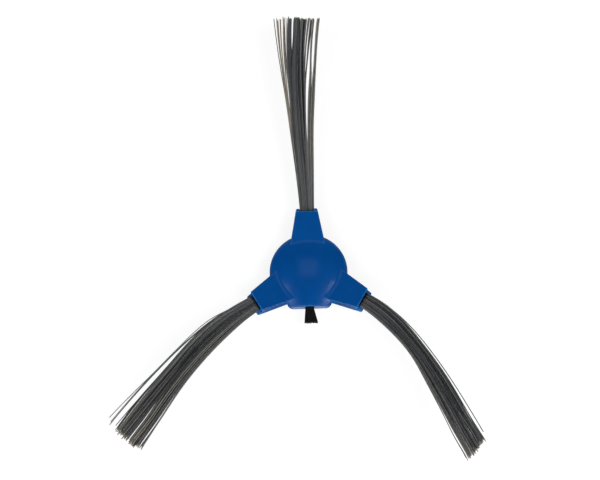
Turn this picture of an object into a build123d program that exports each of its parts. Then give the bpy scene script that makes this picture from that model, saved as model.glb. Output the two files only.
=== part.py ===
from build123d import *
import os
from math import asin, cos, hypot, pi, radians, sin, sqrt, tan

os.makedirs("parts", exist_ok=True)

# Side brush of a robot vacuum, in millimetres: two moulded hub halves clamp folded filament tufts.
# The origin is the mouth of the drive socket, on the end face of the boss, and Z points to the dome.

# Hub in plan
rim_radius = 13.0
front_inset = 0.5
front_flat = rim_radius - front_inset
front_half_width = 7.6
front_corner = 2.3
front_lean = 11.0
front_round = 0.6
front_stock = 6.0
front_sink = 0.02
seam_step = 0.12
ample = 60.0

# Root of a long tuft, between the floor of the base and the roof of the cover
floor_thick = 0.8
roof_thick = 0.9
root_thick = 1.6
root_room = 0.1
fit_gap = 0.05
fold_room = 0.3

# Hub heights
boss_height = 5.0
base_thick = floor_thick + root_thick / 2
seam_z = boss_height + base_thick
bottom_edge = 0.3

# Dome, with a straight land and a round at its rim
dome_radius = 44.0
rim_round = 0.9
rim_land = 0.122
rim_slope = asin(rim_radius / dome_radius)
rim_top = seam_z + rim_land + rim_round * tan((pi / 2 - rim_slope) / 2)
dome_top = rim_top + dome_radius * (1 - cos(rim_slope))
dome_centre = Location((0, 0, dome_top - dome_radius), (90, 0, 0))

# Arms, at the rear and at the two sides in front
arm_count = 3
arm_first = 90.0
arm_start = 6.0
arm_inset = 1.0
arm_ref = rim_radius - arm_inset
arm_half_width = 5.36
arm_taper = 10.6
arm_top = boss_height + floor_thick + root_thick + root_room + roof_thick
arm_rise = 8.6
arm_round = 0.35
lip_edge = 0.15
arm_blend = 5.0
blend_sink = 0.005
blend_depth = 0.4
arm_length = 7.5
roof_reach = rim_radius + arm_length
ear_length = 1.7
base_reach = roof_reach + ear_length
end_round = 0.5

# Channel for the root of a long tuft
channel_inset = 0.4
channel_start = rim_radius - channel_inset
channel_width = 5.0

# Short tuft in the front face
short_width = 3.0
short_thick = 1.4
short_length = 5.2
short_reach = front_flat + short_length
short_drift = 0.4
short_spread = 4.6
short_floor = seam_z - short_thick / 2 - fit_gap
short_roof = seam_z + short_thick / 2 + fit_gap

# Wires the tufts are folded over, clamped in the seam
wire_diameter = 0.9
wire_grip = 0.9
wire_set = 1.4
wire_length = channel_width + 2 * wire_grip
wire_reach = channel_start + wire_set
short_wire_set = 2.6
short_wire_length = short_width + 2 * wire_grip
short_wire_reach = front_flat - short_wire_set
short_fold = 0.8
short_root = short_wire_reach - short_fold

# Long tufts
root_reach = channel_start + fold_room
tuft_width = channel_width - 2 * fit_gap
mouth_out = 0.9
mouth_reach = roof_reach + mouth_out
mouth_room = 0.14
mouth_lift = 0.15
corner_share = 0.3
section_shares = (0.3, 0.65, 1.0)
tuft_rise = 10.0
tip_thick = 3.6
rear_knee = (-1.5, 55.0)
rear_tip = (-0.3, 86.5)
rear_spread = 10.4
left_knee = (-38.0, -26.7)
left_tip = (-60.3, -56.5)
left_spread = 10.4
right_knee = (37.6, -33.0)
right_tip = (52.2, -63.8)
right_spread = 8.2

# Drive boss and socket
boss_radius = 6.5
boss_flare = 0.6
socket_radius = 3.0
socket_depth = 7.0
socket_lead_in = 0.3
socket_end = 0.9
key_width = 2.0
key_span = 9.2
key_depth = 2.4
spigot_radius = 5.0
spigot_top = socket_depth + socket_end

# Locating pegs between the halves, on either side of the rear arm
peg_count = 2
peg_diameter = 2.0
peg_height = 1.2
peg_reach = 7.3


def arm_half(reach, step):
    """Half width of a tapered arm at a distance from the axis."""
    return arm_half_width + step + tan(radians(arm_taper)) * (arm_ref - reach)


def arm_outline(step, reach):
    """Plan of one tapered arm, pointing along X."""
    near = arm_half(arm_start, step)
    far = arm_half(reach, step)
    Polygon((arm_start, -near), (reach, -far), (reach, far), (arm_start, near), align=None)


def roof_height(reach):
    """Height of the rising arm roof at a distance from the axis."""
    return arm_top + tan(radians(arm_rise)) * (reach - arm_ref)


# Roof and upper walls of one arm, pointing along X
with BuildPart() as cover_arm:
    with BuildSketch(Plane.XY.offset(seam_z)):
        arm_outline(0.0, roof_reach)
    extrude(amount=ample)
    with Locations(Location((arm_ref, 0, arm_top), (0, -arm_rise, 0))):
        Box(ample, ample, 2 * ample, align=(Align.CENTER, Align.CENTER, Align.MIN), mode=Mode.SUBTRACT)
    roof = cover_arm.faces().filter_by(lambda f: f.normal_at().Z > 0.9)
    fillet(roof.edges().filter_by(lambda e: abs(e.center().Y) > arm_round), arm_round)
    mouth_face = cover_arm.faces().sort_by(Axis.X)[-1]
    lip = mouth_face.edges().filter_by(lambda e: e.center().Z > roof_height(roof_reach) - arm_round)
    chamfer(lip, lip_edge)

# Concave blend of one arm roof into the dome, turned about the normal from the dome centre
with BuildPart() as arm_root:
    along = Vector(cos(radians(arm_rise)), 0, sin(radians(arm_rise)))
    normal = Vector(-sin(radians(arm_rise)), 0, cos(radians(arm_rise)))
    roof_depth = (Vector(arm_ref, 0, arm_top) - dome_centre.position).dot(normal)
    ball_height = roof_depth + arm_blend
    ball_reach = sqrt((dome_radius + arm_blend) ** 2 - ball_height ** 2)
    dome_share = dome_radius / (dome_radius + arm_blend)
    on_dome = Vector(-ball_reach * dome_share, ball_height * dome_share)
    on_roof = Vector(-ball_reach, roof_depth)
    under_roof = Vector(on_roof.X, roof_depth - blend_depth)
    under_dome = Vector(on_dome.X, roof_depth - blend_depth)
    with BuildSketch(Plane(dome_centre.position - normal * blend_sink, x_dir=-along, z_dir=(0, 1, 0))):
        with BuildLine():
            RadiusArc(on_dome, on_roof, arm_blend)
            Polyline(on_roof, under_roof, under_dome, on_dome)
        make_face()
    revolve(axis=Axis(dome_centre.position, normal))
    with BuildSketch(Plane.XY) as root_plan:
        arm_outline(-arm_round, roof_reach)
    extrude(root_plan.sketch, amount=ample, mode=Mode.INTERSECT)

# Hollow of one arm, pointing along X
with BuildPart() as channel:
    with BuildSketch(Plane.XY.offset(boss_height + floor_thick)):
        with Locations((channel_start, 0)):
            Rectangle(ample, channel_width, align=(Align.MIN, Align.CENTER))
    extrude(amount=ample)
    with Locations(Location((arm_ref, 0, arm_top - roof_thick), (0, -arm_rise, 0))):
        Box(ample, ample, 2 * ample, align=(Align.CENTER, Align.CENTER, Align.MIN), mode=Mode.SUBTRACT)
    with Locations(Location((wire_reach, 0, seam_z), (90, 0, 0))):
        Cylinder(wire_diameter / 2 + fit_gap, wire_length + 2 * fit_gap)

# Hollow of the short tuft in the front
with BuildPart() as short_channel:
    with Locations((0, -short_root + fold_room, short_floor)):
        Box(short_width + 2 * fit_gap, ample, short_roof - short_floor,
            align=(Align.CENTER, Align.MAX, Align.MIN))
    with Locations(Location((0, -short_wire_reach, seam_z), (0, 90, 0))):
        Cylinder(wire_diameter / 2 + fit_gap, short_wire_length + 2 * fit_gap)

# Squared front of the hub, leaning back from its foot and domed on top
with BuildPart() as front_block:
    with BuildSketch(Plane.XY.offset(boss_height)):
        with Locations((0, -front_flat / 2)):
            RectangleRounded(2 * front_half_width, front_flat, front_corner)
    extrude(amount=front_stock, taper=front_lean)
    with Locations(dome_centre):
        Sphere(dome_radius - front_sink, mode=Mode.INTERSECT)
    fillet(front_block.faces().sort_by(Axis.Z)[-1].edges(), front_round)
    chamfer(front_block.faces().sort_by(Axis.Z)[0].edges(), bottom_edge)

# Domed upper moulding
with BuildPart() as hub_cover:
    with Locations(Location((0, 0, seam_z), (0, 0, arm_first - 60))):
        Cylinder(rim_radius, dome_top - seam_z, align=(Align.CENTER, Align.CENTER, Align.MIN))
    with Locations(dome_centre):
        Sphere(dome_radius, mode=Mode.INTERSECT)
    fillet(hub_cover.edges().filter_by(GeomType.CIRCLE).sort_by(Axis.Z)[-1], rim_round)
    with Locations((0, -front_flat + front_corner / 2, 0)):
        Box(ample, ample, ample, align=(Align.CENTER, Align.MAX, Align.CENTER), mode=Mode.SUBTRACT)
    add(front_block.part)
    split(bisect_by=Plane.XY.offset(seam_z), keep=Keep.TOP)
    with PolarLocations(0, arm_count, arm_first):
        add(cover_arm.part)
        add(arm_root.part)
    with PolarLocations(0, arm_count, arm_first):
        add(channel.part, mode=Mode.SUBTRACT)
    add(short_channel.part, mode=Mode.SUBTRACT)
    with Locations((0, 0, seam_z)):
        Cylinder(spigot_radius + fit_gap, spigot_top + fit_gap - seam_z,
                 align=(Align.CENTER, Align.CENTER, Align.MIN), mode=Mode.SUBTRACT)
    with Locations((0, 0, seam_z)):
        with PolarLocations(peg_reach, peg_count, arm_first - 60, 120 * peg_count):
            Cylinder(peg_diameter / 2 + fit_gap, peg_height + fit_gap,
                     align=(Align.CENTER, Align.CENTER, Align.MIN), mode=Mode.SUBTRACT)
hub_cover.part.label = "hub_cover"
export_step(hub_cover.part, "parts/hub_cover.step")

# Trough floor and lower walls of one arm, pointing along X
with BuildPart() as base_arm:
    with BuildSketch(Plane.XY.offset(boss_height)):
        arm_outline(seam_step, base_reach)
    extrude(amount=base_thick)
    fillet(base_arm.edges().filter_by(Axis.Z).group_by(Axis.X)[-1], end_round)
    underside = base_arm.faces().sort_by(Axis.Z)[0]
    chamfer(underside.edges().filter_by(lambda e: e.center().X > arm_start + end_round), bottom_edge)

# Lower moulding with the drive boss
with BuildPart() as hub_base:
    with Locations((0, 0, boss_height)):
        Cylinder(rim_radius + seam_step, base_thick, align=(Align.CENTER, Align.CENTER, Align.MIN))
    chamfer(hub_base.edges().sort_by(Axis.Z)[0], bottom_edge)
    with Locations((0, -front_flat + front_corner / 2, 0)):
        Box(2 * front_half_width, ample, ample,
            align=(Align.CENTER, Align.MAX, Align.CENTER), mode=Mode.SUBTRACT)
    add(front_block.part)
    split(bisect_by=Plane.XY.offset(seam_z), keep=Keep.BOTTOM)
    with PolarLocations(0, arm_count, arm_first):
        add(base_arm.part)
    Cylinder(boss_radius, seam_z, align=(Align.CENTER, Align.CENTER, Align.MIN))
    boss_root = hub_base.edges().filter_by(GeomType.CIRCLE).filter_by(
        lambda e: abs(e.radius - boss_radius) < 0.01 and abs(e.center().Z - boss_height) < 0.1)
    chamfer(boss_root, boss_flare)
    with Locations((0, 0, seam_z)):
        Cylinder(spigot_radius, spigot_top - seam_z, align=(Align.CENTER, Align.CENTER, Align.MIN))
    with Locations((0, 0, seam_z)):
        with PolarLocations(peg_reach, peg_count, arm_first - 60, 120 * peg_count):
            Cylinder(peg_diameter / 2, peg_height, align=(Align.CENTER, Align.CENTER, Align.MIN))
    Cylinder(socket_radius, socket_depth, align=(Align.CENTER, Align.CENTER, Align.MIN), mode=Mode.SUBTRACT)
    mouth = hub_base.edges().filter_by(GeomType.CIRCLE).filter_by(lambda e: abs(e.center().Z) < 0.01)
    chamfer(mouth, socket_lead_in)
    Box(key_span, key_width, key_depth, align=(Align.CENTER, Align.CENTER, Align.MIN), mode=Mode.SUBTRACT)
    with PolarLocations(0, arm_count, arm_first):
        add(channel.part, mode=Mode.SUBTRACT)
    add(short_channel.part, mode=Mode.SUBTRACT)
hub_base.part.label = "hub_base"
export_step(hub_base.part, "parts/hub_base.step")


def tuft_section(origin, heading, wide, thick):
    """Section of a tuft with its corners cut off, square to its heading and level across."""
    across = Vector(0, 0, 1).cross(heading)
    with BuildSketch(Plane(origin=origin, x_dir=across, z_dir=heading)) as section:
        Rectangle(wide, thick)
        chamfer(section.vertices(), corner_share * thick)
    return section.sketch.faces()[0]


def long_tuft(angle, knee, tip, spread):
    """Folded tuft that runs out along its arm and is bent through the knee to its cut tips."""
    out = Vector(cos(radians(angle)), sin(radians(angle)), 0)
    floor_z = boss_height + floor_thick
    root_z = floor_z + fit_gap + root_thick / 2
    mouth_open = roof_height(roof_reach) - roof_thick - floor_z
    mouth_thick = mouth_open - 2 * mouth_room
    mouth_z = floor_z + mouth_open / 2 + mouth_lift
    climb = tan(radians(tuft_rise))
    root = out * root_reach + Vector(0, 0, root_z)
    mouth = out * mouth_reach + Vector(0, 0, mouth_z)
    first = hypot(knee[0] - mouth.X, knee[1] - mouth.Y)
    second = hypot(tip[0] - knee[0], tip[1] - knee[1])
    knee_point = Vector(knee[0], knee[1], mouth_z + climb * first)
    tip_point = Vector(tip[0], tip[1], mouth_z + climb * (first + second))
    with BuildLine() as line:
        Spline(mouth, knee_point, tip_point, tangents=(out + Vector(0, 0, climb), tip_point - knee_point))
    path = line.edges()[0]
    sections = [tuft_section(mouth, mouth - root, tuft_width, mouth_thick)]
    for share in section_shares:
        wide = tuft_width + (spread - tuft_width) * share
        thick = mouth_thick + (tip_thick - mouth_thick) * share
        sections.append(tuft_section(path @ share, path % share, wide, thick))
    with BuildPart() as tuft:
        loft(sections=[tuft_section(root, mouth - root, tuft_width, root_thick), sections[0]], ruled=True)
        loft(sections=sections)
        with Locations(Location(out * wire_reach + Vector(0, 0, seam_z), (0, 0, angle))):
            with Locations(Location((0, 0, 0), (90, 0, 0))):
                Cylinder(wire_diameter / 2 + fit_gap, ample, mode=Mode.SUBTRACT)
    return tuft


def tuft_anchor(angle):
    """Straight wire across an arm, through the fold of its tuft."""
    with BuildPart() as wire:
        with Locations(Location((0, 0, 0), (0, 0, angle))):
            with Locations(Location((wire_reach, 0, seam_z), (90, 0, 0))):
                Cylinder(wire_diameter / 2, wire_length)
    return wire


# Long tufts with their wires
long_tuft_rear = long_tuft(arm_first, rear_knee, rear_tip, rear_spread)
long_tuft_rear.part.label = "long_tuft_rear"
export_step(long_tuft_rear.part, "parts/long_tuft_rear.step")

long_tuft_left = long_tuft(arm_first + 120, left_knee, left_tip, left_spread)
long_tuft_left.part.label = "long_tuft_left"
export_step(long_tuft_left.part, "parts/long_tuft_left.step")

long_tuft_right = long_tuft(arm_first + 240, right_knee, right_tip, right_spread)
long_tuft_right.part.label = "long_tuft_right"
export_step(long_tuft_right.part, "parts/long_tuft_right.step")

tuft_anchor_rear = tuft_anchor(arm_first)
tuft_anchor_rear.part.label = "tuft_anchor_rear"
export_step(tuft_anchor_rear.part, "parts/tuft_anchor_rear.step")

tuft_anchor_left = tuft_anchor(arm_first + 120)
tuft_anchor_left.part.label = "tuft_anchor_left"
export_step(tuft_anchor_left.part, "parts/tuft_anchor_left.step")

tuft_anchor_right = tuft_anchor(arm_first + 240)
tuft_anchor_right.part.label = "tuft_anchor_right"
export_step(tuft_anchor_right.part, "parts/tuft_anchor_right.step")

# Short tuft with its wire
with BuildPart() as short_tuft:
    short_z = (short_floor + short_roof) / 2
    forward = Vector(0, -1, 0)
    fold = tuft_section(Vector(0, -short_root, short_z), forward, short_width, short_thick)
    mouth = tuft_section(Vector(0, -front_flat, short_z), forward, short_width, short_thick)
    ends = tuft_section(Vector(short_drift, -short_reach, short_z), forward, short_spread, short_thick)
    loft(sections=[fold, mouth], ruled=True)
    loft(sections=[mouth, ends], ruled=True)
    with Locations(Location((0, -short_wire_reach, seam_z), (0, 90, 0))):
        Cylinder(wire_diameter / 2 + fit_gap, ample, mode=Mode.SUBTRACT)
short_tuft.part.label = "short_tuft"
export_step(short_tuft.part, "parts/short_tuft.step")

with BuildPart() as short_tuft_anchor:
    with Locations(Location((0, -short_wire_reach, seam_z), (0, 90, 0))):
        Cylinder(wire_diameter / 2, short_wire_length)
short_tuft_anchor.part.label = "short_tuft_anchor"
export_step(short_tuft_anchor.part, "parts/short_tuft_anchor.step")
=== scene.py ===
import bpy
import math
import random
from mathutils import Matrix, Vector


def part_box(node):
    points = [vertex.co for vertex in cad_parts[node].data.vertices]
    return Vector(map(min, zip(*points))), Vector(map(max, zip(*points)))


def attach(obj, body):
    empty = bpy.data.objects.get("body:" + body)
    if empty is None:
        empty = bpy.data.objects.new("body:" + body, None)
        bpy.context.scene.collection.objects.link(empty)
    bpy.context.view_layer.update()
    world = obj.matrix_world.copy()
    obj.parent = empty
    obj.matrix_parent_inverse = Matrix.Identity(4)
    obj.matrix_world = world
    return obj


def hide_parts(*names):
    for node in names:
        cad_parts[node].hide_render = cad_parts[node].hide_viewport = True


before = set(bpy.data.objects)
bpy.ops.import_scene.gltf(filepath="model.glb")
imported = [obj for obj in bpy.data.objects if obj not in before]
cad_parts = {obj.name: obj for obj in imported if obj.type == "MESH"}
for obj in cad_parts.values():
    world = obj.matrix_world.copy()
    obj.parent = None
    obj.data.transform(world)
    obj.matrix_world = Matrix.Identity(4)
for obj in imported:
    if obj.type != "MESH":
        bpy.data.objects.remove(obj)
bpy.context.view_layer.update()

# Side brush of a robot vacuum, in metres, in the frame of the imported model: the moulded hub and the
# wires keep their solids, and each tuft is built again as loose nylon filaments.

MM = 0.001

# Camera, with angles in degrees
CAMERA_TARGET = Vector((0.0, 0.0, 7.78)) * MM
CAMERA_AIM = Vector((-2.56, 10.92, 7.78)) * MM
CAMERA_ELEVATION = 76.0
CAMERA_DISTANCE = 750 * MM
CAMERA_ROLL = -2.47
CAMERA_LENS = 133.8
CAMERA_CLIP = (0.01, 20)
SENSOR_WIDTH = 36.0

# Lamps: name, azimuth from +X and elevation in degrees, distance, width and height in metres, watts
LAMPS = [
    ("left_light", 203, 60, 1.2, 0.5, 0.5, 2.7),
    ("right_light", 337, 60, 1.2, 0.5, 0.5, 4.8),
    ("front_light", 264, 36, 1.2, 1.6, 0.5, 10.2),
    ("rear_light", 90, 30, 1.4, 2.4, 0.7, 4.8),
    ("top_light", 90, 74, 1.0, 0.28, 0.28, 0.13),
]

# Surround: its colour, its level low down and overhead, and the heights it changes between
WHITE = (1.0, 1.0, 1.0)
SURROUND_LOW = 0.44
SURROUND_HIGH = 0.024
SURROUND_FADE = (0.1, 0.7)

# Floor: its colour as it lights the part, as the camera sees it and as the hub mirrors it
FLOOR_HALF = 2.5
FLOOR_ALBEDO = 0.9
FLOOR_SEEN_MATTE = 0.25
FLOOR_SEEN_GLOW = 0.82
FLOOR_FADE = (0.25, 1.2)
FLOOR_MIRRORED_MATTE = 0.08
# Painted shade: to reflections the floor glows white only past these, and stays dark close around the
# hub
FRONT_CLEAR = (-16.5 * MM, -14.5 * MM)
ROUND_CLEAR = (26 * MM, 32 * MM)

# Noise in every material
NOISE_DETAIL = 2.0

# Hub: plain, with painted light on the arm ends, a painted reflection on the flat front and painted
# highlights along the edges
FLOW_SCALE = 130
PLAIN_BLUES = [(0.3, (0.0005, 0.058, 0.245)), (0.7, (0.0009, 0.065, 0.268))]
# Painted light on the arm ends: its colour, its share and the reach it fades in over
ARM_END_LIGHT_BLUE = (0.012, 0.15, 0.47)
ARM_END_LIGHT_SHARE = 0.75
ARM_END_LIGHT_REACH = (20.2 * MM, 20.9 * MM)
# Painted reflection on the flat front: its colour, and the facing and the reach it fades in over
FRONT_REFLECTION_BLUE = (0.11, 0.165, 0.33)
FRONT_REFLECTION_FACING = (-0.98, -0.93)
FRONT_REFLECTION_REACH = (-12.2 * MM, -11.8 * MM)
# Painted highlights along the edges: colour, share, turn of the bevelled normal it fades over, radius
# and samples
EDGE_HIGHLIGHT_BLUE = (0.03, 0.27, 0.66)
EDGE_HIGHLIGHT_SHARE = 0.8
EDGE_HIGHLIGHT_TURN = (0.8, 0.985)
EDGE_HIGHLIGHT_RADIUS = 0.5 * MM
EDGE_HIGHLIGHT_SAMPLES = 6
GRAIN_SCALE = 4200
GRAIN_STRENGTH = 0.12
GRAIN_DEPTH = 0.02 * MM
HUB_ROUGHNESS = (0.12, 0.2)
HUB_IOR = 1.5
HUB_SPECULAR = 0.25

# Wires
WIRE_SCALE = 2500
WIRE_GREYS = [(0.3, (0.42, 0.42, 0.43)), (0.7, (0.58, 0.58, 0.59))]
WIRE_ROUGHNESS = (0.25, 0.42)

# Filament finish: shades by tone, the cut end's colour and the specular level
GREY_SHADES = [
    (0.0, (0.006, 0.006, 0.007)),
    (0.25, (0.056, 0.058, 0.062)),
    (0.5, (0.112, 0.116, 0.12)),
    (0.75, (0.2, 0.197, 0.17)),
    (1.0, (0.34, 0.29, 0.225)),
]
GREY_END = (0.28, 0.245, 0.185)
GREY_SPECULAR = 0.4
BLACK_SHADES = [(0.0, (0.0012, 0.0012, 0.0013)), (1.0, (0.0055, 0.0055, 0.006))]
BLACK_END = (0.012, 0.012, 0.012)
BLACK_SPECULAR = 0.2
STREAK_SCALE = 900
STREAK_SHADES = [(0.3, (0.78, 0.78, 0.78)), (0.7, (1.0, 1.0, 1.0))]
FILAMENT_ROUGHNESS = (0.36, 0.52)
NYLON_IOR = 1.53

# Long tufts: shares are of the curve's length, and spreads are of random draws
FILAMENT_RADIUS = 0.15 * MM
RADIUS_RANGE = (0.9, 1.06)
RING_SIDES = 6
RING_STEP = 2.4 * MM
CUT_END = 0.5 * MM
LENGTH_STEPS = 20
MOUTH_Z_MM = 6.5
TUFT_RISE = math.tan(math.radians(10.0))
ROOT_HALF_THICK = 0.5 * MM
TIP_HALF_THICK = 1.4 * MM
THICKEN_POWER = 0.6
ACROSS_SPREAD = 0.07
DEPTH_SPREAD = 0.3
WAVE_SPREAD_MM = 0.05
WAVE_RADIANS = 5
LAST_STATION_OVERRUN = 1.3

# Tones along a long filament: painted shade in the arm's mouth, then its own shade, then the swept tip
MOUTH_TONE = 0.34
# Painted shade in the mouth: tones are black up to this run from the root, where the roof's end shades
# the filaments, and come back over the fade
MOUTH_RUN = 5.5 * MM
MOUTH_SHADE_FADE = 0.7 * MM
OWN_SHADE_AT_ROOT = 0.45
OWN_SHADE_START = 0.05
OWN_SHADE_SPAN = 0.35
SWEPT_START = 0.75
SWEPT_SPAN = 0.25
SWEPT_PALER = 0.12

# Short tuft
SHORT_COUNT = 170
SHORT_SEED = 11
SHORT_RADIUS = 0.09 * MM
SHORT_ROOT_WIDTH = 2.75 * MM
SHORT_ROOT_INSET = 0.4 * MM
SHORT_SIDE_INSET = 0.1 * MM
SHORT_LEVEL_INSET = 0.12 * MM
SHORT_MOUTH_Y = -12.3 * MM
SHORT_ACROSS_SPREAD = 0.06
SHORT_END_SPREAD_MM = 0.22
SHORT_RINGS = (0.25, 0.5, 0.75, 0.95, 1.0)


def clamp(value, low=0.0, high=1.0):
    """Value kept between two limits."""
    return min(max(value, low), high)


def add_object(name, data):
    """Object linked into the scene."""
    thing = bpy.data.objects.new(name, data)
    bpy.context.scene.collection.objects.link(thing)
    return thing


class Graph:
    """Nodes of a material or world, with helpers that add to them and return what to read."""

    def __init__(self, owner):
        owner.use_nodes = True
        self.nodes = owner.node_tree.nodes
        self.links = owner.node_tree.links

    def feed(self, source, socket):
        """Link an input, or set a fixed number, vector or colour on it."""
        if isinstance(source, bpy.types.NodeSocket):
            self.links.new(source, socket)
        elif socket.type == "RGBA":
            socket.default_value = (*source, 1.0)
        else:
            socket.default_value = source

    def read(self, kind, output):
        """Output of a new node that needs no input."""
        return self.nodes.new(kind).outputs[output]

    def attribute(self, name):
        """Value stored at the points of the mesh."""
        node = self.nodes.new("ShaderNodeAttribute")
        node.attribute_name = name
        return node.outputs["Fac"]

    def split(self, source):
        """Parts of a vector."""
        node = self.nodes.new("ShaderNodeSeparateXYZ")
        self.feed(source, node.inputs["Vector"])
        return node.outputs

    def number(self, operation, *sources):
        """Result of an operation on numbers."""
        node = self.nodes.new("ShaderNodeMath")
        node.operation = operation
        for source, socket in zip(sources, node.inputs):
            self.feed(source, socket)
        return node.outputs["Value"]

    def vector(self, operation, *sources):
        """Results of an operation on vectors."""
        node = self.nodes.new("ShaderNodeVectorMath")
        node.operation = operation
        for source, socket in zip(sources, node.inputs):
            self.feed(source, socket)
        return node.outputs

    def noise(self, scale):
        """Noise in the object's own coordinates."""
        node = self.nodes.new("ShaderNodeTexNoise")
        self.feed(scale, node.inputs["Scale"])
        self.feed(NOISE_DETAIL, node.inputs["Detail"])
        self.feed(self.read("ShaderNodeTexCoord", "Object"), node.inputs["Vector"])
        return node.outputs["Fac"]

    def ramp(self, source, stops):
        """Colour ramp over a value, with stops of (place, colour)."""
        node = self.nodes.new("ShaderNodeValToRGB")
        elements = node.color_ramp.elements
        while len(elements) < len(stops):
            elements.new(0.5)
        for element, (place, colour) in zip(elements, stops):
            element.position = place
            element.color = (*colour, 1.0)
        self.feed(source, node.inputs["Fac"])
        return node.outputs["Color"]

    def scaled(self, source, low, high, start=0.0, end=1.0):
        """Value that runs from low to high as the source runs from start to end."""
        node = self.nodes.new("ShaderNodeMapRange")
        self.feed(start, node.inputs["From Min"])
        self.feed(end, node.inputs["From Max"])
        self.feed(low, node.inputs["To Min"])
        self.feed(high, node.inputs["To Max"])
        self.feed(source, node.inputs["Value"])
        return node.outputs["Result"]

    def mixed(self, share, under, over, blend="MIX"):
        """Colour laid over another."""
        node = self.nodes.new("ShaderNodeMix")
        node.data_type = "RGBA"
        node.blend_type = blend
        self.feed(share, node.inputs["Factor"])
        self.feed(under, node.inputs["A"])
        self.feed(over, node.inputs["B"])
        return node.outputs["Result"]

    def bump(self, source, strength, distance):
        """Bump from a height value."""
        node = self.nodes.new("ShaderNodeBump")
        self.feed(strength, node.inputs["Strength"])
        self.feed(distance, node.inputs["Distance"])
        self.feed(source, node.inputs["Height"])
        return node.outputs["Normal"]


def new_material(name):
    """New material, its nodes and the inputs of its principled shader."""
    material = bpy.data.materials.new(name)
    graph = Graph(material)
    return material, graph, graph.nodes["Principled BSDF"].inputs


def hub_material():
    """Blue moulded plastic with grain and flow marks, with painted highlights along its edges, painted
    light on its arm ends and a painted reflection on its flat front.
    """
    material, graph, shader = new_material("hub_plastic")
    normal = graph.read("ShaderNodeNewGeometry", "Normal")
    place = graph.read("ShaderNodeTexCoord", "Object")
    plain = graph.ramp(graph.noise(FLOW_SCALE), PLAIN_BLUES)

    level = graph.vector("MULTIPLY", place, (1.0, 1.0, 0.0))["Vector"]
    reach = graph.vector("LENGTH", level)["Value"]
    # Painted light: the arm ends past the roofs are lightened, where the ears catch the light
    at_end = graph.scaled(reach, 0.0, ARM_END_LIGHT_SHARE, *ARM_END_LIGHT_REACH)
    lit_arm_ends = graph.mixed(at_end, plain, ARM_END_LIGHT_BLUE)

    # Painted reflection: the flat front is paled to lilac grey, as if it mirrored the white floor
    facing = graph.scaled(graph.split(normal)["Y"], 1.0, 0.0, *FRONT_REFLECTION_FACING)
    forward = graph.scaled(graph.split(place)["Y"], 1.0, 0.0, *FRONT_REFLECTION_REACH)
    front_reflected = graph.mixed(graph.number("MULTIPLY", facing, forward), lit_arm_ends, FRONT_REFLECTION_BLUE)

    # Painted highlights: colour is lightened where the bevelled normal turns from the surface's, as if
    # rounded edges caught the light
    rounded = graph.nodes.new("ShaderNodeBevel")
    rounded.samples = EDGE_HIGHLIGHT_SAMPLES
    graph.feed(EDGE_HIGHLIGHT_RADIUS, rounded.inputs["Radius"])
    turn = graph.vector("DOT_PRODUCT", rounded.outputs["Normal"], normal)["Value"]
    edge_highlight = graph.scaled(turn, EDGE_HIGHLIGHT_SHARE, 0.0, *EDGE_HIGHLIGHT_TURN)
    graph.feed(graph.mixed(edge_highlight, front_reflected, EDGE_HIGHLIGHT_BLUE), shader["Base Color"])

    grain = graph.noise(GRAIN_SCALE)
    graph.feed(graph.scaled(grain, *HUB_ROUGHNESS), shader["Roughness"])
    graph.feed(graph.bump(grain, GRAIN_STRENGTH, GRAIN_DEPTH), shader["Normal"])
    shader["IOR"].default_value = HUB_IOR
    shader["Specular IOR Level"].default_value = HUB_SPECULAR
    return material


def filament_material(name, shades, end, specular):
    """Nylon filament: each has its own shade, with the painted shade of the arm's mouth carried in its
    tone, faint drawing streaks and a paler cut end.
    """
    material, graph, shader = new_material(name)
    streak = graph.noise(STREAK_SCALE)
    shade = graph.ramp(graph.attribute("tone"), shades)
    drawn = graph.mixed(1.0, shade, graph.ramp(streak, STREAK_SHADES), "MULTIPLY")
    graph.feed(graph.mixed(graph.attribute("cut"), drawn, end), shader["Base Color"])
    graph.feed(graph.scaled(streak, *FILAMENT_ROUGHNESS), shader["Roughness"])
    shader["IOR"].default_value = NYLON_IOR
    shader["Specular IOR Level"].default_value = specular
    return material


def wire_material():
    """Drawn steel wire."""
    material, graph, shader = new_material("wire_steel")
    drawn = graph.noise(WIRE_SCALE)
    graph.feed(graph.ramp(drawn, WIRE_GREYS), shader["Base Color"])
    graph.feed(graph.scaled(drawn, *WIRE_ROUGHNESS), shader["Roughness"])
    shader["Metallic"].default_value = 1.0
    return material


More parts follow.
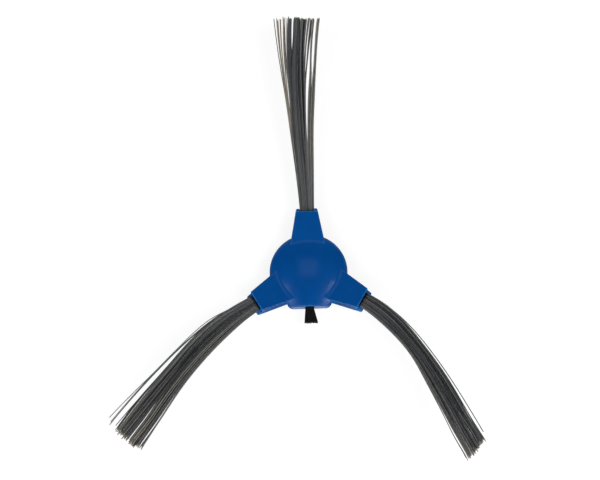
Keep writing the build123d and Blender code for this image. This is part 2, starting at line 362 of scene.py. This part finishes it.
def floor_material():
    """White floor with a faint shadow, bright to the camera, and to reflections only clear of the hub,
    with painted shade in them close around it.
    """
    material = bpy.data.materials.new("floor_white")
    graph = Graph(material)
    graph.nodes.clear()
    camera = graph.read("ShaderNodeLightPath", "Is Camera Ray")
    mirrored = graph.read("ShaderNodeLightPath", "Is Glossy Ray")
    place = graph.read("ShaderNodeNewGeometry", "Position")
    reach = graph.vector("LENGTH", place)["Value"]

    seen = graph.number("MULTIPLY", camera, FLOOR_SEEN_MATTE - FLOOR_ALBEDO)
    shown = graph.number("MULTIPLY_ADD", mirrored, FLOOR_MIRRORED_MATTE - FLOOR_ALBEDO, seen)
    matte = graph.nodes.new("ShaderNodeBsdfDiffuse")
    graph.feed(graph.number("ADD", shown, FLOOR_ALBEDO), matte.inputs["Color"])

    # Painted shade: to reflections the floor is dark close around the hub, where its shade falls, and
    # glows white only in front of the flat front and farther out
    front = graph.scaled(graph.split(place)["Y"], 1.0, 0.0, *FRONT_CLEAR)
    around = graph.scaled(reach, 0.0, 1.0, *ROUND_CLEAR)
    lit = graph.number("MULTIPLY", mirrored, graph.number("MAXIMUM", front, around))
    bright = graph.scaled(reach, FLOOR_SEEN_GLOW, 1.0, *FLOOR_FADE)
    glow = graph.nodes.new("ShaderNodeEmission")
    graph.feed(graph.number("MULTIPLY_ADD", camera, bright, lit), glow.inputs["Strength"])

    both = graph.nodes.new("ShaderNodeAddShader")
    graph.feed(matte.outputs["BSDF"], both.inputs[0])
    graph.feed(glow.outputs["Emission"], both.inputs[1])
    out = graph.nodes.new("ShaderNodeOutputMaterial")
    graph.feed(both.outputs["Shader"], out.inputs["Surface"])
    return material


def bezier(points, share):
    """Point and heading on a cubic curve."""
    a, b, c, d = points
    rest = 1.0 - share
    place = a * rest ** 3 + b * 3 * rest ** 2 * share + c * 3 * rest * share ** 2 + d * share ** 3
    heading = (b - a) * 3 * rest ** 2 + (c - b) * 6 * rest * share + (d - c) * 3 * share ** 2
    return place, heading.normalized()


def plan_curve(*places):
    """Cubic curve that rises evenly, from its four points in plan in millimetres."""
    run = 0.0
    points = []
    before = Vector(places[0])
    for place in places:
        here = Vector(place)
        run += (here - before).length
        points.append(Vector((here.x, here.y, MOUTH_Z_MM + run * TUFT_RISE)) * MM)
        before = here
    return points


class Bundle:
    """Mesh data of many filaments, with a tone and a mark for the cut end at each point."""

    def __init__(self):
        self.points = []
        self.faces = []
        self.tones = []
        self.cuts = []

    def filament(self, path, radius, tones):
        """Closed tube along a path, with flat cut ends."""
        first = len(self.points)
        final = len(path) - 1
        for index, place in enumerate(path):
            along = (path[min(index + 1, final)] - path[max(index - 1, 0)]).normalized()
            side = along.cross(Vector((0, 0, 1))).normalized()
            upper = side.cross(along)
            for corner in range(RING_SIDES):
                turn = 2 * math.pi * corner / RING_SIDES
                outward = side * math.cos(turn) + upper * math.sin(turn)
                self.points.append(place + outward * radius)
                self.tones.append(tones[index])
                self.cuts.append(1.0 if index == final else 0.0)
        for ring in range(final):
            low = first + ring * RING_SIDES
            high = low + RING_SIDES
            for corner in range(RING_SIDES):
                after = (corner + 1) % RING_SIDES
                self.faces.append((low + corner, high + corner, high + after, low + after))
        last = first + final * RING_SIDES
        self.faces.append(tuple(first + corner for corner in range(RING_SIDES)))
        self.faces.append(tuple(last + corner for corner in reversed(range(RING_SIDES))))

    def build(self, name, material):
        """Object made of the filaments."""
        mesh = bpy.data.meshes.new(name)
        mesh.from_pydata(self.points, [], self.faces)
        for label, values in (("tone", self.tones), ("cut", self.cuts)):
            mesh.attributes.new(label, "FLOAT", "POINT").data.foreach_set("value", values)
        mesh.materials.append(material)
        for face in mesh.polygons:
            face.use_smooth = len(face.vertices) == 4
        mesh.validate()
        return add_object(name, mesh)


class Lock:
    """Filaments that run together between two edges.

    Each station is a share of the way along and the two edges there, in millimetres across the curve.
    deep is the range in the tuft's depth, and reach the share at which the lock is cut off.
    """

    def __init__(self, count, tones, stations, deep=(-1.0, 1.0), reach=1.0):
        self.count = count
        self.tones = tones
        self.stations = stations
        self.deep = deep
        self.reach = reach

    def edges(self, share):
        """Both edges at a share of the way, eased through the stations."""
        stations = self.stations
        last = len(stations) - 1
        span = 0
        while span < last - 1 and share > stations[span + 1][0]:
            span += 1
        near, far = stations[span], stations[span + 1]
        width = far[0] - near[0]
        place = clamp((share - near[0]) / width, high=LAST_STATION_OVERRUN)
        square, cube = place ** 2, place ** 3
        eased = []
        for edge in (1, 2):
            slopes = []
            for point in (span, span + 1):
                left = stations[max(point - 1, 0)]
                right = stations[min(point + 1, last)]
                slopes.append((right[edge] - left[edge]) / (right[0] - left[0]) * width)
            eased.append((2 * cube - 3 * square + 1) * near[edge]
                         + (cube - 2 * square + place) * slopes[0]
                         + (3 * square - 2 * cube) * far[edge]
                         + (cube - square) * slopes[1])
        return eased


def mouth_shade_and_swept_tip_tone(tone, share, run):
    """Tone along a filament: painted shade in the arm's mouth, evened out after it, paler at the swept
    tip.
    """
    # Painted shade: the tone is black in the arm's mouth under the roof's shadow and fades back in
    # beyond it
    unshaded = clamp((run - MOUTH_RUN) / MOUTH_SHADE_FADE)
    free = clamp((share - OWN_SHADE_START) / OWN_SHADE_SPAN)
    swept = clamp((share - SWEPT_START) / SWEPT_SPAN)
    own = OWN_SHADE_AT_ROOT + (1.0 - OWN_SHADE_AT_ROOT) * free
    return min(MOUTH_TONE + (tone - MOUTH_TONE) * own + SWEPT_PALER * swept, 1.0) * unshaded


def long_tuft(name, node, curve, locks, skew, ragged, seed):
    """Tuft of filaments along a curve, cut off raggedly along a line that may lie askew."""
    draw = random.Random(seed)
    bundle = Bundle()
    marks = [bezier(curve, step / LENGTH_STEPS)[0] for step in range(LENGTH_STEPS + 1)]
    length = sum((after - before).length for before, after in zip(marks, marks[1:]))
    rings = int(length / RING_STEP)
    speed = 3 * (curve[1] - curve[0]).length
    # Extra rings at the root and where the painted mouth shade ends and fades out
    mouth_shares = [0.0, MOUTH_RUN / speed, (MOUTH_RUN + MOUTH_SHADE_FADE) / speed]
    for lock in locks:
        low_tip, high_tip = lock.edges(1.0)
        for index in range(lock.count):
            place = (index + draw.random()) / lock.count
            place_tip = clamp(place + draw.gauss(0, ACROSS_SPREAD))
            deep = draw.uniform(*lock.deep)
            deep_tip = clamp(deep + draw.gauss(0, DEPTH_SPREAD), low=-1.0)
            wave = draw.gauss(0, WAVE_SPREAD_MM) * MM
            phase = draw.uniform(0, 2 * math.pi)
            radius = FILAMENT_RADIUS * draw.uniform(*RADIUS_RANGE)
            tone = draw.uniform(*lock.tones)
            tip = low_tip + (high_tip - low_tip) * place_tip
            reach = lock.reach + skew * tip + draw.gauss(0, ragged)
            shares = mouth_shares + [reach * ring / rings for ring in range(len(mouth_shares), rings)]
            shares += [reach - CUT_END / length, reach]
            path = []
            for share in shares:
                middle, heading = bezier(curve, share)
                side = Vector((heading.y, -heading.x, 0)).normalized()
                low, high = lock.edges(share)
                across = (low + (high - low) * (place + (place_tip - place) * share)) * MM
                across += wave * math.sin(phase + WAVE_RADIANS * share) * share
                thicker = (TIP_HALF_THICK - ROOT_HALF_THICK) * share ** THICKEN_POWER
                lift = (ROOT_HALF_THICK + thicker) * (deep + (deep_tip - deep) * share)
                path.append(middle + side * across + Vector((0, 0, lift)))
            tones = [mouth_shade_and_swept_tip_tone(tone, share, share * speed) for share in shares]
            bundle.filament(path, radius, tones)
    piece = bundle.build(name, filament_grey)
    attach(piece, "root")
    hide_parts(node)


def short_tuft():
    """Short dense tuft of fine black filaments in the front face, spreading to one side."""
    draw = random.Random(SHORT_SEED)
    low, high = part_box("short_tuft")
    bundle = Bundle()
    middle = (low.z + high.z) / 2
    half_thick = (high.z - low.z) / 2 - SHORT_LEVEL_INSET
    end_width = high.x - low.x - 2 * SHORT_SIDE_INSET
    for _ in range(SHORT_COUNT):
        place = draw.random()
        place_tip = clamp(place + draw.gauss(0, SHORT_ACROSS_SPREAD))
        height = middle + draw.uniform(-1, 1) * half_thick
        across = (place - 0.5) * SHORT_ROOT_WIDTH
        end_across = low.x + SHORT_SIDE_INSET + place_tip * end_width
        end_along = low.y + abs(draw.gauss(0, SHORT_END_SPREAD_MM)) * MM
        root = Vector((across, high.y - SHORT_ROOT_INSET, height))
        mouth = Vector((across, SHORT_MOUTH_Y, height))
        end = Vector((end_across, end_along, height))
        path = [root, mouth] + [mouth.lerp(end, step) for step in SHORT_RINGS]
        bundle.filament(path, SHORT_RADIUS, [draw.random()] * len(path))
    piece = bundle.build("filaments_short", filament_black)
    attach(piece, "root")
    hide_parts("short_tuft")


def make_floor():
    """Plain floor under the part."""
    mesh = bpy.data.meshes.new("floor")
    half = FLOOR_HALF
    corners = [(-half, -half, 0), (half, -half, 0), (half, half, 0), (-half, half, 0)]
    mesh.from_pydata(corners, [], [(0, 1, 2, 3)])
    mesh.materials.append(floor_material())
    floor = add_object("floor", mesh)


def make_world():
    """Even white surround, dimmer overhead, and white where the camera looks past the floor."""
    world = bpy.data.worlds.new("studio")
    bpy.context.scene.world = world
    graph = Graph(world)
    graph.nodes.clear()
    height = graph.split(graph.read("ShaderNodeTexCoord", "Generated"))["Z"]
    level = graph.scaled(height, SURROUND_LOW, SURROUND_HIGH, *SURROUND_FADE)
    camera = graph.read("ShaderNodeLightPath", "Is Camera Ray")
    light = graph.nodes.new("ShaderNodeBackground")
    graph.feed(WHITE, light.inputs["Color"])
    graph.feed(graph.number("MAXIMUM", level, camera), light.inputs["Strength"])
    out = graph.nodes.new("ShaderNodeOutputWorld")
    graph.feed(light.outputs["Background"], out.inputs["Surface"])


def area_light(name, azimuth, elevation, distance, width, height, power):
    """Soft light aimed at the part."""
    data = bpy.data.lights.new(name, "AREA")
    data.shape = "RECTANGLE"
    data.size = width
    data.size_y = height
    data.energy = power
    turn = math.radians(azimuth)
    tilt = math.radians(elevation)
    level = math.cos(tilt)
    place = Vector((math.cos(turn) * level, math.sin(turn) * level, math.sin(tilt))) * distance
    lamp = add_object(name, data)
    lamp.location = place
    lamp.rotation_mode = "QUATERNION"
    lamp.rotation_quaternion = (-place).to_track_quat("-Z", "Y")


def make_camera():
    """Camera above and in front of the hub, turned a little about its own axis."""
    data = bpy.data.cameras.new("camera")
    data.lens = CAMERA_LENS
    data.sensor_width = SENSOR_WIDTH
    data.clip_start, data.clip_end = CAMERA_CLIP
    camera = add_object("camera", data)
    tilt = math.radians(CAMERA_ELEVATION)
    outward = Vector((0, -math.cos(tilt), math.sin(tilt)))
    camera.location = CAMERA_TARGET + outward * CAMERA_DISTANCE
    aim = (CAMERA_AIM - camera.location).to_track_quat("-Z", "Y")
    roll = Matrix.Rotation(math.radians(CAMERA_ROLL), 4, "Z").to_quaternion()
    camera.rotation_mode = "QUATERNION"
    camera.rotation_quaternion = aim @ roll
    bpy.context.scene.camera = camera


filament_grey = filament_material("filament_grey", GREY_SHADES, GREY_END, GREY_SPECULAR)
filament_black = filament_material("filament_black", BLACK_SHADES, BLACK_END, BLACK_SPECULAR)

# Rear tuft, with its locks from the left side to the right
rear_curve = plan_curve((0.0, 15.5), (-0.6, 40.0), (-3.2, 64.0), (-0.1, 86.5))
rear_locks = [
    Lock(10, tones=(0.5, 1.0), deep=(-0.4, 0.6), reach=0.985, stations=[
        (0.0, -2.3, -1.7), (0.1, -2.05, -1.6), (0.37, -3.05, -2.4), (0.61, -4.5, -3.4),
        (0.84, -7.1, -4.3), (1.0, -9.3, -4.6)]),
    Lock(4, tones=(0.6, 1.0), deep=(-0.2, 0.8), reach=0.988, stations=[
        (0.0, -2.2, -1.6), (0.1, -2.0, -1.5), (0.37, -2.95, -2.2), (0.61, -3.2, -2.7),
        (0.79, -4.5, -3.6), (1.0, -6.4, -4.3)]),
    Lock(20, tones=(0.22, 0.65), reach=0.991, stations=[
        (0.0, -2.3, -0.8), (0.1, -2.0, -0.7), (0.37, -2.95, -1.3), (0.61, -2.8, -1.7),
        (0.79, -3.8, -2.2), (0.89, -4.05, -2.6), (1.0, -4.2, -3.1)]),
    Lock(30, tones=(0.15, 0.58), reach=0.991, stations=[
        (0.0, -1.9, 0.1), (0.1, -1.7, 0.2), (0.37, -2.5, 0.0), (0.61, -2.6, -0.2), (0.79, -2.4, -0.2),
        (0.89, -2.1, -0.2), (1.0, -2.4, -0.6)]),
    Lock(36, tones=(0.05, 0.5), reach=0.992, stations=[
        (0.0, -0.3, 1.3), (0.1, -0.2, 1.7), (0.37, -0.3, 1.95), (0.61, -0.5, 2.15), (0.79, -0.5, 1.95),
        (0.89, -0.5, 1.95), (1.0, -0.9, 2.1)]),
    # Painted shade: near-black filaments laid along a dark gap between the locks
    Lock(6, tones=(0.0, 0.1), deep=(0.4, 1.0), reach=0.99, stations=[
        (0.0, 0.9, 1.3), (0.1, 1.1, 1.5), (0.3, 0.2, 0.6), (0.45, -0.4, 0.0), (0.65, -0.5, -0.1),
        (1.0, -0.9, -0.4)]),
    Lock(9, tones=(0.25, 0.7), reach=0.992, stations=[
        (0.0, 0.4, 1.2), (0.37, 1.2, 1.9), (0.6, 2.0, 2.2), (0.79, 2.3, 2.45), (1.0, 2.6, 3.2)]),
    Lock(8, tones=(0.2, 0.65), reach=0.992, stations=[
        (0.0, 0.6, 1.4), (0.37, 1.3, 1.9), (0.6, 2.1, 2.3), (0.7, 2.5, 2.65), (0.79, 3.0, 3.2),
        (1.0, 3.5, 4.2)]),
    Lock(10, tones=(0.35, 0.72), reach=0.992, stations=[
        (0.0, 1.2, 1.8), (0.1, 1.5, 2.1), (0.3, 1.75, 2.6), (0.4, 2.25, 3.0), (0.5, 2.75, 3.55),
        (0.61, 3.3, 4.1), (0.72, 4.0, 4.55), (0.79, 4.1, 4.45), (1.0, 4.15, 4.75)]),
    Lock(10, tones=(0.42, 0.95), reach=0.994, stations=[
        (0.0, 1.7, 2.3), (0.1, 1.9, 2.65), (0.29, 2.5, 3.6), (0.47, 3.3, 4.5), (0.61, 4.2, 5.4),
        (0.78, 5.4, 6.1), (1.0, 5.6, 6.5)]),
]
long_tuft("filaments_rear", "long_tuft_rear", rear_curve, rear_locks,
          skew=0.0005, ragged=0.0022, seed=3)

# Left tuft, with its locks from the upper side to the lower
left_curve = plan_curve((-13.4, -7.75), (-33.4, -18.6), (-49.6, -39.6), (-60.2, -56.6))
left_locks = [
    Lock(1, tones=(0.6, 0.7), deep=(0.0, 0.4), reach=1.02, stations=[
        (0.0, 2.2, 2.2), (0.1, 2.4, 2.4), (0.2, 3.4, 3.4), (0.3, 4.75, 4.75), (0.4, 5.1, 5.1),
        (0.5, 5.2, 5.2), (0.68, 6.05, 6.05), (1.0, 9.3, 9.3)]),
    Lock(4, tones=(0.35, 0.6), deep=(0.0, 0.8), reach=1.017, stations=[
        (0.0, 2.1, 2.3), (0.1, 2.35, 2.5), (0.28, 3.85, 4.0), (0.43, 4.4, 4.6), (0.64, 5.25, 5.5),
        (1.0, 7.35, 7.7)]),
    Lock(2, tones=(0.4, 0.6), deep=(0.0, 0.8), reach=1.006, stations=[
        (0.0, 2.1, 2.3), (0.28, 3.7, 3.8), (0.61, 3.7, 3.8), (0.8, 4.4, 4.45), (1.0, 5.7, 5.8)]),
    Lock(48, tones=(0.26, 0.76), reach=1.012, stations=[
        (0.0, 0.9, 2.3), (0.1, 0.9, 2.45), (0.28, 1.5, 3.9), (0.43, 1.2, 4.1), (0.61, 0.6, 3.8),
        (0.8, 0.8, 4.5), (1.0, 2.0, 4.9)]),
    # Painted shade: near-black filaments laid along a dark gap between the locks
    Lock(8, tones=(0.0, 0.15), deep=(0.5, 1.0), reach=1.008, stations=[
        (0.0, 0.3, 2.2), (0.1, 0.3, 2.3), (0.28, 0.4, 3.7), (0.43, 0.2, 3.9), (0.61, -0.2, 3.6),
        (0.8, -0.2, 4.3), (1.0, 0.6, 4.7)]),
    Lock(38, tones=(0.1, 0.66), reach=1.012, stations=[
        (0.0, -0.6, 1.0), (0.1, -0.6, 1.0), (0.28, -0.5, 1.7), (0.43, -0.6, 1.4), (0.61, -0.8, 0.8),
        (0.8, -1.0, 1.0), (0.9, -0.9, 1.6), (1.0, -0.4, 2.2)]),
    # Painted shade: near-black filaments laid along a dark gap between the locks
    Lock(6, tones=(0.0, 0.1), deep=(0.4, 1.0), reach=1.012, stations=[
        (0.0, 0.4, 0.8), (0.3, 1.0, 1.4), (0.5, -0.1, 0.3), (0.73, -0.1, 0.3), (1.0, 1.5, 2.0)]),
    Lock(36, tones=(0.22, 0.8), reach=1.013, stations=[
        (0.0, -1.9, -0.5), (0.1, -2.0, -0.4), (0.28, -2.4, -0.3), (0.43, -2.7, -0.4),
        (0.61, -3.2, -0.7), (0.76, -3.6, -1.0), (0.84, -3.75, -1.2), (0.92, -3.6, -1.05),
        (1.0, -3.1, -0.7)]),
    # Painted shade: near-black filaments laid along a dark gap between the locks
    Lock(5, tones=(0.0, 0.15), deep=(0.4, 1.0), stations=[
        (0.0, -2.0, -0.2), (0.28, -2.7, -0.2), (0.61, -3.6, -0.6), (0.84, -4.2, -1.8),
        (1.0, -4.0, -1.2)]),
    Lock(15, tones=(0.4, 0.85), deep=(-0.8, 1.0), reach=0.99, stations=[
        (0.0, -2.3, -1.7), (0.1, -2.4, -1.8), (0.28, -3.2, -2.4), (0.43, -3.7, -2.7),
        (0.61, -4.3, -3.1), (0.8, -5.2, -3.6), (0.9, -5.3, -3.6), (1.0, -5.0, -3.75)]),
    Lock(2, tones=(0.4, 0.7), deep=(-0.4, 0.6), reach=0.998, stations=[
        (0.0, -2.3, -2.2), (0.28, -3.2, -3.1), (0.61, -4.4, -4.3), (0.87, -5.5, -5.4),
        (1.0, -5.65, -5.6)]),
]
long_tuft("filaments_left", "long_tuft_left", left_curve, left_locks,
          skew=-0.0045, ragged=0.008, seed=5)

# Right tuft, with its locks from the upper side to the lower
right_curve = plan_curve((13.4, -7.75), (31.4, -17.2), (44.0, -42.4), (52.1, -64.0))
right_locks = [
    Lock(2, tones=(0.2, 0.4), deep=(0.0, 0.6), reach=0.975, stations=[
        (0.0, -2.25, -2.2), (0.1, -2.6, -2.5), (0.24, -3.25, -3.2), (0.34, -3.5, -3.45),
        (0.55, -3.65, -3.55), (0.79, -4.25, -4.15), (1.0, -5.3, -5.2)]),
    Lock(5, tones=(0.25, 0.6), reach=1.004, stations=[
        (0.0, -2.2, -2.0), (0.24, -3.2, -3.0), (0.5, -2.9, -2.7), (0.85, -3.45, -3.2),
        (1.0, -4.6, -4.2)]),
    Lock(44, tones=(0.12, 0.62), reach=1.002, stations=[
        (0.0, -2.25, -0.4), (0.1, -2.75, -0.5), (0.24, -3.2, -0.6), (0.46, -2.85, -0.5),
        (0.65, -3.1, -0.3), (0.8, -3.2, -0.4), (0.88, -3.3, -1.05), (0.95, -3.65, -1.5),
        (1.0, -4.1, -1.6)]),
    # Painted shade: near-black filaments laid along a dark gap between the locks
    Lock(6, tones=(0.0, 0.12), deep=(0.5, 1.0), stations=[
        (0.0, -2.0, 0.2), (0.24, -3.0, 0.4), (0.46, -2.6, 0.6), (0.65, -2.8, 0.8), (0.8, -2.8, 0.8),
        (0.88, -3.0, -1.6), (1.0, -3.8, -1.9)]),
    Lock(34, tones=(0.0, 0.42), reach=1.008, stations=[
        (0.0, -0.4, 1.2), (0.1, -0.5, 1.2), (0.24, -0.6, 1.3), (0.46, -0.5, 1.2), (0.65, -0.4, 1.5),
        (0.8, -0.5, 1.5), (0.88, -0.6, 1.4), (0.95, -1.0, 1.15), (1.0, -1.5, 1.0)]),
    Lock(32, tones=(0.25, 0.68), reach=1.008, stations=[
        (0.0, 0.9, 2.2), (0.1, 0.9, 2.2), (0.24, 0.9, 2.5), (0.46, 0.9, 2.5), (0.65, 1.2, 3.5),
        (0.85, 1.3, 3.8), (1.0, 0.6, 3.1)]),
    Lock(2, tones=(0.6, 0.75), deep=(0.6, 1.0), stations=[
        (0.0, -0.6, -0.5), (0.46, -0.3, -0.1), (0.85, -0.3, -0.2), (1.0, -1.1, -1.0)]),
    # Painted shade: near-black filaments laid along a dark gap between the locks
    Lock(5, tones=(0.0, 0.08), deep=(0.4, 1.0), stations=[
        (0.0, 0.7, 1.0), (0.3, 0.9, 1.2), (0.6, 0.6, 0.9), (0.85, 0.2, 0.5), (1.0, 0.1, 0.4)]),
    Lock(11, tones=(0.4, 0.75), deep=(-0.6, 1.0), reach=1.006, stations=[
        (0.0, 1.7, 2.25), (0.1, 1.8, 2.2), (0.24, 2.2, 2.6), (0.46, 2.1, 2.6), (0.65, 3.0, 3.6),
        (0.85, 3.1, 3.85), (1.0, 2.5, 3.2)]),
    Lock(2, tones=(0.5, 0.8), deep=(-0.4, 0.4), reach=1.005, stations=[
        (0.0, 2.1, 2.2), (0.24, 2.5, 2.6), (0.46, 2.55, 2.6), (0.64, 3.7, 3.75), (0.89, 4.25, 4.5),
        (1.0, 3.6, 4.1)]),
]
long_tuft("filaments_right", "long_tuft_right", right_curve, right_locks,
          skew=0.0065, ragged=0.004, seed=7)

short_tuft()

# Finish of the moulded hub and the wires
hub = hub_material()
wire = wire_material()
for name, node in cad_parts.items():
    if name.startswith("hub"):
        finish = hub
    elif "anchor" in name:
        finish = wire
    else:
        continue
    node.data.materials.clear()
    node.data.materials.append(finish)

# Stage
make_floor()
make_world()
for lamp in LAMPS:
    area_light(*lamp)
make_camera()
bpy.context.scene.view_settings.view_transform = "Standard"
